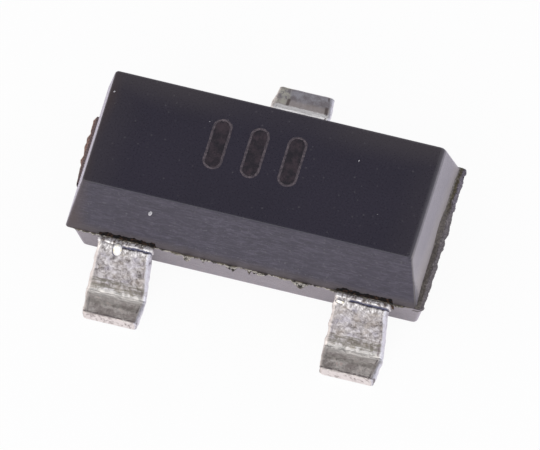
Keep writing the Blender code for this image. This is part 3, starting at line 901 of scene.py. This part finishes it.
# Rough skins over the two broken gates. The solids' own steps are followed, and finer breaks are added.
gateSkins = {
    "step": 0.004,
    "cover": 0.0015,                 # how far a skin lies over the solid
    "ledgeEnd": 0.638,
    "cornerPlace": (1.390, 0.610),
    "cornerRound": 0.035,
    "scar": (0.07, 0.18, 0.036),     # where it climbs the wall: place, half length, height
    # Where the solid's own points are looked for: beyond which x, and between which rises
    "ledgeTips": (1.41, -0.021, 0.0075),
    "ledgeCrests": (1.375, 0.005, 0.05),
    "ledgeTops": (1.372, 0.004, 0.05),
    "stubTips": (1.444, -0.04, -0.03),
    "stubLows": (1.442, -0.075, -0.065),
    "stubTops": (1.442, 0.005, 0.015),
    "ledge": {"Reach": 0.009, "Coarse": 44.0, "Fine": 95.0, "Fine Depth": 0.010, "Low": 0.38, "High": 0.64,
              "Seed": 4.7},
    "stub": {"Reach": 0.003, "Coarse": 30.0, "Fine": 100.0, "Fine Depth": 0.004, "Low": 0.35, "High": 0.70,
             "Seed": 6.1},
}
bodyPoints = [vertex.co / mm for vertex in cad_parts["mould_body"].data.vertices]


# Farthest x of the solid, or its highest rise, for each of its own stations along y
def gateProfile(side, inner, low, high, upward=False):
    found = {}
    for point in bodyPoints:
        out, rise = point.x * side, point.z - partingZ
        if out > inner and low < rise < high:
            station = round(point.y, 3)
            found[station] = max(found.get(station, 0.0), rise if upward else out)
    return sorted(found.items())


def alongProfile(profile, y):
    for (y0, x0), (y1, x1) in zip(profile, profile[1:]):
        if y <= y1:
            share = min(1.0, max(0.0, (y - y0) / max(y1 - y0, 1e-6)))
            return x0 + (x1 - x0) * share
    return profile[-1][1]


# A gate's section at one place: corners as (x, rise, push, way as (x, z), points up to the next corner)
def sectionRing(side, y, corners):
    ring = []
    for (x0, z0, push0, way, count), (x1, z1, push1, _, _) in zip(corners, corners[1:] + corners[:1]):
        for i in range(count):
            share = i / count
            point = Vector((side * (x0 + (x1 - x0) * share), y, partingZ + z0 + (z1 - z0) * share))
            ring.append((point, push0 + (push1 - push0) * share, (side * way[0], 0.0, way[1])))
    return ring


def ledgeMesh(name, form):
    cover = form["cover"]
    draft = math.tan(math.radians(bodyForm["rightDraft"]))
    tips, crests = gateProfile(1, *form["ledgeTips"]), gateProfile(1, *form["ledgeCrests"])
    tops = gateProfile(1, *form["ledgeTops"], upward=True)
    rings = []
    scarPlace, scarHalf, scarHeight = form["scar"]
    cornerX, cornerY = form["cornerPlace"]
    for y in between(-form["ledgeEnd"], form["ledgeEnd"], form["step"]):
        tip, crest, top = (alongProfile(profile, y) for profile in (tips, crests, tops))
        past = max(0.0, abs(y) - cornerY)
        if past > 0:
            tip = min(tip, cornerX + math.sqrt(max(0.0, form["cornerRound"] ** 2 - past ** 2)))
        beyond = max(0.0, y - tops[-1][0], tops[0][0] - y)
        top = max(0.004, top - beyond * 0.5)
        crest = min(crest, tip - 0.004)
        climb = scarHeight * max(0.0, 1 - ((y - scarPlace) / scarHalf) ** 2)
        wall = bodyForm["upperEnds"][1] - (top + climb) * draft
        rings.append(sectionRing(1, y, [
            (wall - 0.03, -0.05, 0.0, (0, 0), 1),
            (tip - 0.03, -0.05, 0.0, (0, 0), 1),
            (tip + cover, -0.022, 0.6, (1, 0), 5),
            (tip + cover, 0.006, 1.0, (0.95, 0.3), 8),
            (crest + cover, top + cover, 0.8, (0.2, 0.98), 10),
            (wall + 0.001, top + cover + climb, 0.35, (0.1, 0.9), 2),
            (wall - 0.006, top + cover + climb + 0.006, 0.0, (0, 0), 1)]))
    return skinMesh(name, [rings])


def stubMesh(name, form):
    cover = form["cover"]
    edge = -bodyForm["upperEnds"][0]
    tips, lows, tops = (gateProfile(-1, *form[key]) for key in ("stubTips", "stubLows", "stubTops"))
    rings = []
    for y in between(tips[0][0], tips[-1][0], form["step"]):
        tip, low, top = (alongProfile(profile, y) for profile in (tips, lows, tops))
        rings.append(sectionRing(-1, y, [
            (edge - 0.07, -0.07 - cover, 0.0, (0, 0), 1),
            (low + cover, -0.07 - cover, 0.7, (0.9, -0.3), 7),
            (tip + cover, -0.035, 1.0, (1, 0), 9),
            (top + cover, 0.01 + cover, 0.8, (0.7, 0.7), 6),
            (edge - 0.008, 0.01 + cover, 0.1, (0, 0.5), 1),
            (edge - 0.07, 0.0, 0.0, (0, 0), 1)]))
    return skinMesh(name, [rings])


# Dark patches on the faces at the roots of the leads, and a brown mark beside the emitter lead
facePatchForm = {
    "step": 0.005,
    "proud": 0.0015,
    "sunk": 0.004,
    "start": 0.0005,                 # gap between a patch and the parting line
    "above": 0.030,                  # height over each lead
    "past": (0.006, 0.024),          # how far past the lead's left and right sides
    "fade": (0.012, 0.15),           # length over which its ends grow, and the share they start from
    "beside": (0.0, 0.030),          # the mark at the right of the emitter lead: from its side, width
    "below": 0.130,
    "dark": {"Reach": 0.022, "Coarse": 26.0, "Fine": 90.0, "Fine Depth": 0.006, "Low": 0.3, "High": 0.7,
             "Seed": 1.7},
    "brown": {"Reach": 0.050, "Coarse": 30.0, "Fine": 90.0, "Fine Depth": 0.008, "Low": 0.3, "High": 0.7,
              "Seed": 7.9},
}


# A patch on the front or rear face between two places along x, from one rise to another
def facePatch(x0, x1, side, near, far, form):
    rings = []
    length, least = form["fade"]
    for x in between(x0, x1, form["step"]):
        fade = min(1.0, (x - x0) / length + least, (x1 - x) / length + least)
        reach = near + (far - near) * fade
        way = (facePoint(x, reach, side) - facePoint(x, reach * 0.5, side)).normalized()
        ring = []
        for share in (0.0, 0.2, 0.4, 0.6, 0.8, 1.0):
            point = facePoint(x, near + (reach - near) * share, side, form["proud"] * (1 - share * 0.4))
            ring.append((point, share * fade, way))
        ring.append((facePoint(x, reach, side, -form["sunk"]), fade, way))
        ring.append((facePoint(x, near, side, -form["sunk"]), 0.0, way))
        rings.append(ring)
    return rings


def rootDarkStrips(form):
    strips = []
    left, right = form["past"]
    for node, side in leadSides.items():
        low, high = leadFacts(node)[3:]
        strips.append(facePatch(low - left, high + right, side, form["start"], form["above"], form))
    return strips


# Finishes of the ragged epoxy

brokenLook = {
    "dark": (0.030, 0.026, 0.032),
    "olive": (0.135, 0.115, 0.062),
    "grey": (0.178, 0.156, 0.150),
    "purple": (0.230, 0.205, 0.250),
    "pale": (0.42, 0.39, 0.36),
    "stub": (0.26, 0.185, 0.178),
    "rust": (0.500, 0.310, 0.245),
}


def makeBroken(look):
    material, where, shader = startMaterial("brokenEpoxy")
    x, y, _ = parts(where)
    lumps = noiseAt(where, 26.0, 3.0, 0.65)
    grain = noiseAt(where, 90.0, 2.0, 0.7)
    ragged = wander(x, lumps, 0.045)
    rear = ease(plus(y, times(lumps, 0.3)), 0.25, 0.55)
    tinted = ease(rear, 0.0, 1.0, 0.3, 1.0)
    inner = blend(tinted, look["grey"], look["olive"])
    outer = blend(tinted, look["grey"], look["purple"])
    outward = minus(times(minus(lumps, 0.5), 0.03), x)
    rusty = blend(ease(outward, 1.450, 1.466), look["stub"], look["rust"])
    colour = painted(blend(ease(ragged, 1.392, 1.412), inner, outer), look, [
        ("pale", times(fall(ragged, 1.370, 1.386), rear)),
        (rusty, calc("LESS_THAN", x, 0.0)),
        ("dark", fall(grain, 0.38, 0.62, 0.65)),
        ("pale", ease(lumps, 0.58, 0.68, 0.0, 0.3))])
    feed(shader, Base_Color=colour, Roughness=ease(grain, 0.3, 0.7, 0.55, 0.8), IOR=1.5)
    addBump(shader, times(grain, 0.003))
    return material


flashLook = {
    "dark": (0.034, 0.028, 0.024),
    "olive": (0.165, 0.142, 0.105),
    "pale": (0.62, 0.585, 0.52),
}


def makeFlash(look):
    material, where, shader = startMaterial("moldFlash")
    lumps = noiseAt(where, 24.0, 3.0, 0.65)
    grain = noiseAt(where, 100.0, 2.0, 0.7)
    push = stored(material.node_tree, "push")
    # Pale chips in the middle of the fin: partly the thin epoxy's own paler tone, partly painted light on
    # it
    chips = times(ease(grain, 0.38, 0.52), ease(lumps, 0.40, 0.52))
    inside = times(ease(push, 0.30, 0.60), fall(push, 1.60, 1.95), 0.95)
    colour = blend(ease(lumps, 0.42, 0.60), look["dark"], look["olive"])
    colour = blend(times(chips, inside), colour, look["pale"])
    feed(shader, Base_Color=colour, Roughness=0.6, IOR=1.5)
    addBump(shader, times(grain, 0.003))
    return material


facePatchLooks = {
    "rootDarkSkin": ((0.004, 0.0035, 0.004), (0.060, 0.030, 0.018), 0.50, 0.64),
    "brownBleed": ((0.030, 0.017, 0.010), (0.135, 0.070, 0.034), 0.38, 0.58),
}


def makeFacePatch(name, dark, light, low, high):
    material, where, shader = startMaterial(name)
    lumps = noiseAt(where, 48.0, 3.0, 0.65)
    grain = noiseAt(where, 110.0, 2.0, 0.7)
    colour = blend(ease(lumps, low, high), dark, light)
    feed(shader, Base_Color=colour, Roughness=0.75, IOR=1.25)
    addBump(shader, times(grain, 0.0015))
    return material


# Beads of tin left on the shoulders of the front leads
tinBeads = {
    # lead, across, run, half width, half length, height
    "places": (("base_lead", -0.047, 0.083, 0.037, 0.050, 0.015),
               ("emitter_lead", -0.163, 0.078, 0.034, 0.015, 0.007)),
    # the dome, then the crevice beside it: radius and height, both as shares
    "profile": ((0.06, 1.0), (0.28, 0.96), (0.47, 0.88), (0.64, 0.77), (0.79, 0.62), (0.90, 0.43),
                (0.97, 0.24), (1.0, 0.10), (1.03, 0.04), (1.10, 0.03), (1.17, 0.0), (1.20, -0.25)),
    "points": 28,
    "lift": 0.002,
    "creviceSide": 155.0,            # degrees, where the crevice is widest
    "creviceLeast": 0.12,
    "ragged": {"Reach": 0.004, "Coarse": 30.0, "Fine": 80.0, "Fine Depth": 0.001, "Low": 0.3, "High": 0.7,
               "Seed": 5.2},
}


# Place on the top of a lead, with the directions down the lead and out of it
def leadPlace(node, across, run):
    _, tip, thickness, low, high = leadFacts(node)
    stations = leadStations(leadForm, thickness, tip)
    out, height, tilt = next((o, h, t) for o, h, t, _, r in stations if r >= run)
    down = Vector((0, -math.cos(tilt), -math.sin(tilt)))
    normal = Vector((0, -math.sin(tilt), math.cos(tilt)))
    return Vector(((low + high) / 2 + across, -out, height)) + normal * thickness / 2, down, normal


def beadRings(form, node, across, run, halfWidth, halfLength, height):
    centre, down, normal = leadPlace(node, across, run)
    rings = []
    for share, lift in form["profile"]:
        ring = []
        for step in range(form["points"]):
            angle = math.tau * step / form["points"]
            flat = Vector((math.cos(angle) * halfWidth, 0, 0)) + down * (math.sin(angle) * halfLength)
            facing = max(form["creviceLeast"], math.cos(angle - math.radians(form["creviceSide"])))
            reach = min(share, 1.0) + max(0.0, share - 1.0) * facing
            ring.append((centre + flat * reach + normal * (height * lift + form["lift"]), share, normal))
        rings.append(ring)
    return rings


def makeBead():
    material, where, shader = startMaterial("meltedTin")
    cloud = noiseAt(where, 26.0, 3.0, 0.6)
    push = stored(material.node_tree, "push")
    tint = blend(ease(cloud, 0.45, 0.62), (1.0, 0.99, 0.97), (0.9, 0.84, 0.66))
    # painted shade: the crevice round each bead is dark navy
    tint = blend(ease(push, 0.99, 1.04), tint, (0.075, 0.075, 0.12))
    feed(shader, Base_Color=tint, Metallic=1.0, Roughness=ease(cloud, 0.3, 0.7, 0.25, 0.4))
    addBump(shader, times(cloud, 0.002))
    return material


raggedEdge = makeRaggedEdge()
beadSeed = skinMesh("tinBeads", [beadRings(tinBeads, *place) for place in tinBeads["places"]])
grow("tinBeads", beadSeed, raggedEdge, "matte_tin", makeBead(), **tinBeads["ragged"])
brokenEpoxy, moldFlash = makeBroken(brokenLook), makeFlash(flashLook)
rootDarkSkin, brownBleed = (makeFacePatch(name, *look) for name, look in facePatchLooks.items())
emitterSide = leadFacts("emitter_lead")[4]
brownFrom, brownWide = facePatchForm["beside"]
brownStrip = facePatch(emitterSide + brownFrom, emitterSide + brownFrom + brownWide, -1,
                        -facePatchForm["start"], -facePatchForm["below"], facePatchForm)
raggedPieces = [
    ("moldFlashFin", flashMesh("moldFlashFin", flashFin), moldFlash, flashFin["ragged"]),
    ("gateLedgeSkin", ledgeMesh("gateLedgeSkin", gateSkins), brokenEpoxy, gateSkins["ledge"]),
    ("gateStubSkin", stubMesh("gateStubSkin", gateSkins), brokenEpoxy, gateSkins["stub"]),
    ("leadRootDarkening", skinMesh("leadRootDarkening", rootDarkStrips(facePatchForm)), rootDarkSkin, facePatchForm["dark"]),
    ("leadSideBleed", skinMesh("leadSideBleed", [brownStrip]), brownBleed, facePatchForm["brown"]),
]
for name, seedMesh, finish, details in raggedPieces:
    grow(name, seedMesh, raggedEdge, "black_epoxy", finish, **details)
print("ragged epoxy made")


# Plain laser mark on the top face: upright bars, each with a burnt bed and a fine raised outline

laserMark = {
    "centre": (-0.109, 0.0745),
    "bars": 3,
    "pitch": 0.30,
    "length": 0.43,
    "width": 0.135,
    "lineRadius": 0.0135,
    "lineSunk": 0.0085,
    "bedProud": 0.0006,
    "bedSunk": 0.004,
    "bedInset": 0.002,
    "bedStep": 0.006,
    "bedRelief": {"Reach": 0.0012, "Coarse": 30.0, "Fine": 90.0, "Fine Depth": 0.0008, "Low": 0.35,
                  "High": 0.65, "Seed": 9.2},
}


def makeLaserLine():
    sizes = {"Bars": 3, "Pitch": 0.28, "Length": 0.42, "Width": 0.13, "Line Radius": 0.006, "Wander": 0.004,
             "Centre X": 0.0, "Centre Y": 0.0, "Height": 1.0, "Seed": 0.0}
    tree, entry = startTree("laserLine", sizes)
    oblong = addNode(tree, "GeometryNodeCurvePrimitiveQuadrilateral",
                     {"Width": entry["Width"], "Height": entry["Length"]})
    capsule = addNode(tree, "GeometryNodeFilletCurve",
                      {"Curve": oblong, "Radius": times(entry["Width"], 0.499), "Count": 12}, mode="POLY")
    first = times(entry["Pitch"], times(minus(entry["Bars"], 1.0), -0.5))
    row = addNode(tree, "GeometryNodeMeshLine", {"Count": entry["Bars"], "Start Location": joined(first),
                                                 "Offset": joined(entry["Pitch"])})
    bars = addNode(tree, "GeometryNodeInstanceOnPoints", {"Points": row, "Instance": capsule})
    loose = addNode(tree, "GeometryNodeRealizeInstances", {"Geometry": bars})
    fine = addNode(tree, "GeometryNodeResampleCurve", {"Curve": loose, "Length": 0.006}, mode="LENGTH")
    where = seededPlace(tree, entry)
    wobble = join("ShaderNodeTexNoise", {"Vector": where, "Scale": 26.0, "Detail": 2.0}, 1)
    wobble = join("ShaderNodeVectorMath", {0: wobble, 1: (-0.5, -0.5, -0.5)}, operation="ADD")
    wobble = stretched(scaled(wobble, entry["Wander"]), (2.0, 2.0, 0.5))
    moved = addNode(tree, "GeometryNodeSetPosition", {"Geometry": fine, "Offset": wobble})
    uneven = ease(noiseAt(where, 60.0, 2.0, 0.6), 0.3, 0.7, 0.86, 1.12)
    ring = addNode(tree, "GeometryNodeCurvePrimitiveCircle",
                   {"Resolution": 8, "Radius": entry["Line Radius"]})
    tube = addNode(tree, "GeometryNodeCurveToMesh",
                   {"Curve": moved, "Profile Curve": ring, "Scale": uneven})
    place = joined(entry["Centre X"], entry["Centre Y"], entry["Height"])
    laid = addNode(tree, "GeometryNodeTransform", {"Geometry": tube, "Translation": place})
    return endTree(tree, entry, laid)


# The burnt beds, one capsule-shaped plate for each bar
def bedStrips(form):
    radius, half = form["width"] / 2 - form["bedInset"], form["length"] / 2 - form["bedInset"]
    strips = []
    for bar in range(form["bars"]):
        x = form["centre"][0] + (bar - (form["bars"] - 1) / 2) * form["pitch"]
        rings = []
        for t in between(-half, half, form["bedStep"]):
            y = form["centre"][1] + t
            over = max(0.0, abs(t) - (half - radius))
            wide = max(0.004, math.sqrt(max(0.0, radius ** 2 - over ** 2)))
            ring = [((x + wide * share, y, topZ + form["bedProud"]), 1.0 - abs(share) ** 4, (0, 0, 1))
                    for share in between(-1.0, 1.0, 0.1)]
            ring += [((x + wide * share, y, topZ - form["bedSunk"]), 0.0, (0, 0, 0)) for share in (1, -1)]
            rings.append(ring)
        strips.append(rings)
    return strips


markLooks = {
    "laserRidge": ((0.052, 0.040, 0.050), (0.125, 0.100, 0.112), 40.0, 0.7),
    "laserBed": ((0.013, 0.010, 0.016), (0.042, 0.028, 0.036), 11.0, 0.45),
}


def makeMarkFinish(name, dark, light, scale, roughness):
    material, where, shader = startMaterial(name)
    cloud = noiseAt(where, scale, 3.0, 0.6)
    grain = noiseAt(where, 95.0, 2.0, 0.7)
    mixed = plus(times(cloud, 0.75), times(grain, 0.25))
    feed(shader, Base_Color=blend(ease(mixed, 0.4, 0.64), dark, light),
         Roughness=ease(grain, 0.3, 0.7, roughness - 0.1, roughness + 0.1), IOR=1.5)
    addBump(shader, times(grain, 0.001))
    return material


laserRidge, laserBed = (makeMarkFinish(name, *look) for name, look in markLooks.items())
point = bmesh.new()
point.verts.new((0, 0, 0))
lineSizes = {"Bars": laserMark["bars"], "Pitch": laserMark["pitch"], "Length": laserMark["length"],
             "Width": laserMark["width"], "Line Radius": laserMark["lineRadius"],
             "Centre X": laserMark["centre"][0], "Centre Y": laserMark["centre"][1],
             "Height": topZ - laserMark["lineSunk"], "Seed": 3.3}
grow("laserMarkOutline", meshFrom("laserMarkOutline", point), makeLaserLine(), "black_epoxy", laserRidge,
     **lineSizes)
grow("laserMarkBed", skinMesh("laserMarkBed", bedStrips(laserMark)), raggedEdge, "black_epoxy", laserBed,
     **laserMark["bedRelief"])
print("laser mark made")


# A few grains of dust, where the photo shows them: place, and size in millimetres

dustGrains = (
    ((-0.777, -0.548, 0.8165), 0.0240),
    ((-1.301, 0.3125, 1.0), 0.0080),
    ((0.686, 0.2155, 1.0), 0.0080),
    ((0.26, -0.585, 0.63), 0.0055),
    ((-0.52, 0.25, 1.0), 0.0040),
    ((0.95, -0.2, 1.0), 0.0045),
)


def makeDustTree():
    tree, entry = startTree("dustGrains", {"Roughen": 0.45, "Seed": 0.0})
    limits = {"Min": (0, 0, 0), "Max": (6.28, 6.28, 6.28), "Seed": 4}
    turn = addNode(tree, "FunctionNodeRandomValue", limits, data_type="FLOAT_VECTOR")
    ball = addNode(tree, "GeometryNodeMeshIcoSphere", {"Radius": 1.0, "Subdivisions": 3})
    flat = addNode(tree, "GeometryNodeTransform", {"Geometry": ball, "Scale": (1.0, 0.72, 0.5)})
    grains = addNode(tree, "GeometryNodeInstanceOnPoints",
                     {"Points": entry["Geometry"], "Instance": flat, "Rotation": turn,
                      "Scale": named(tree, "size")})
    loose = addNode(tree, "GeometryNodeRealizeInstances", {"Geometry": grains})
    where = seededPlace(tree, entry)
    lumps = minus(noiseAt(where, 55.0, 2.0), 0.5)
    lumps = times(lumps, entry["Roughen"], 0.03)
    normal = addNode(tree, "GeometryNodeInputNormal").outputs[0]
    moved = addNode(tree, "GeometryNodeSetPosition", {"Geometry": loose, "Offset": scaled(normal, lumps)})
    return endTree(tree, entry, moved)


dustBm = bmesh.new()
dustSize = dustBm.verts.layers.float.new("size")
for spot, size in dustGrains:
    dustBm.verts.new(spot)[dustSize] = size
paleDust = makeMarkFinish("paleDust", (0.42, 0.41, 0.43), (0.80, 0.79, 0.80), 60.0, 0.8)
grow("dustGrains", meshFrom("dustGrains", dustBm), makeDustTree(), "black_epoxy", paleDust, Seed=2.0)
print("dust laid")


# Finishes of the pieces inside the epoxy

def makeInner(name, first, second, metallic, roughness, scale, height):
    material, where, shader = startMaterial(name)
    cloud = noiseAt(where, scale, 4.0, 0.6)
    feed(shader, Base_Color=blend(ease(cloud, 0.3, 0.7), first, second), Metallic=metallic,
         Roughness=ease(cloud, 0.3, 0.7, roughness * 0.8, roughness * 1.2))
    addBump(shader, times(cloud, height))
    return material


innerLooks = {
    "silicon_chip": ("sawnSilicon", (0.10, 0.11, 0.14), (0.16, 0.17, 0.21), 0.3, 0.22, 30.0, 0.0008),
    "die_attach": ("silverGlue", (0.52, 0.52, 0.50), (0.68, 0.68, 0.66), 0.6, 0.5, 60.0, 0.003),
    "base_bond_wire": ("drawnGold", (0.90, 0.64, 0.22), (0.98, 0.78, 0.38), 1.0, 0.25, 90.0, 0.0004),
}
innerFinishes = {node: makeInner(*look) for node, look in innerLooks.items()}
innerFinishes["emitter_bond_wire"] = innerFinishes["base_bond_wire"]
innerFinishes["mould_body"] = blackEpoxy
for node, finish in innerFinishes.items():
    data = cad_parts[node].data
    data.materials.clear()
    data.materials.append(finish)
print("frame painted")
